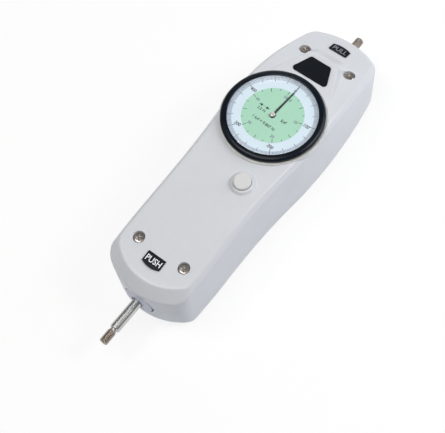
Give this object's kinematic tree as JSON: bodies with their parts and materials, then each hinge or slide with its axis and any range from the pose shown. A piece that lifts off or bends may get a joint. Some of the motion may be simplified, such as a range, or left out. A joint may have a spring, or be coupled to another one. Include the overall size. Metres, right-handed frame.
{
  "type": "analog force gauge",
  "caption": "Handheld mechanical push-pull force gauge: waisted painted case, round turning dial and a through rod with threaded ends.",
  "frame": {"origin": "middle of the flat back face, with the gauge lying on its back", "axes": "+Z out of the dial, +Y along the measuring rod towards the pull end, +X to the right of the dial seen from the front"},
  "size_m": [0.0612, 0.243, 0.054],
  "materials": {
    "case_paint": "fine textured satin",
    "black_paint": "satin black",
    "dial_white": "matte print",
    "clear_plastic": "clear gloss",
    "chrome": "polished",
    "steel": "ground",
    "brass": "turned",
    "yellow_zinc": "yellow passivated",
    "alloy": "satin",
    "button_white": "semi gloss",
    "nylon": "moulded",
    "felt": "felt"
  },
  "bodies": {
    "root": {"front_shell": "case_paint", "rear_shell": "case_paint", "case_screw_1": "yellow_zinc", "case_screw_2": "yellow_zinc", "case_screw_3": "yellow_zinc", "case_screw_4": "yellow_zinc", "push_bearing": "alloy", "pull_bearing": "alloy", "push_bush": "brass", "pull_bush": "brass", "spring_anchor": "steel", "load_spring_left": "steel", "load_spring_right": "steel", "movement_bridge": "alloy", "movement_top_plate": "alloy", "movement_pillar_1": "brass", "movement_pillar_2": "brass", "movement_pillar_3": "brass", "movement_pillar_4": "brass", "bezel_seat_ring": "steel", "button_guide": "nylon", "button_spring": "steel", "lever_bracket": "alloy", "lever_pin": "steel", "name_plate": "black_paint", "push_label": "black_paint", "pull_label": "black_paint", "hairspring": "brass"},
    "shaft": {"measuring_rod": "chrome", "crosshead": "steel", "rack": "steel", "rack_clamp": "steel", "rest_stop_collar": "steel", "limit_stop_collar": "steel"},
    "wheel": {"gear_wheel": "brass", "wheel_arbor": "steel"},
    "needle": {"pointer": "black_paint", "pointer_hub": "chrome", "pointer_arbor": "steel"},
    "bezel": {"bezel_ring": "black_paint", "crystal": "clear_plastic", "dial_plate": "dial_white"},
    "button": {"button_cap": "button_white", "button_plunger": "steel"},
    "brake": {"brake_lever": "alloy", "brake_pad": "felt"}
  },
  "joints": [
    {"name": "shaft_slide", "type": "slide", "parent": "root", "child": "shaft", "axis": [0, 1, 0], "range_m": [0, 0.01], "stiffness_N_per_m": 50000},
    {"name": "wheel_turn", "type": "hinge", "parent": "root", "child": "wheel", "pos_m": [-0.0055, 0.00948, 0.03], "axis": [0, 0, 1], "range_deg": [-1, 121]},
    {"name": "needle_turn", "type": "hinge", "parent": "root", "child": "needle", "pos_m": [0, 0.0245, 0.045], "axis": [0, 0, 1], "range_deg": [-361, 1]},
    {"name": "bezel_turn", "type": "hinge", "parent": "root", "child": "bezel", "pos_m": [0, 0.0245, 0.05], "axis": [0, 0, 1], "continuous": true},
    {"name": "button_press", "type": "slide", "parent": "root", "child": "button", "axis": [0, 0, -1], "range_m": [0, 0.002], "stiffness_N_per_m": 600, "deforming": ["button_spring"]},
    {"name": "brake_tilt", "type": "hinge", "parent": "root", "child": "brake", "pos_m": [0.008, -0.0065, 0.0381], "axis": [1, 0, 0], "range_deg": [-0.2, 9.5]}
  ],
  "couplings": [
    {"joint": "wheel_turn", "follows": "shaft_slide", "rad_per_m": 209.44},
    {"joint": "needle_turn", "follows": "shaft_slide", "rad_per_m": -628.32},
    {"joint": "brake_tilt", "follows": "button_press", "rad_per_m": 80}
  ]
}
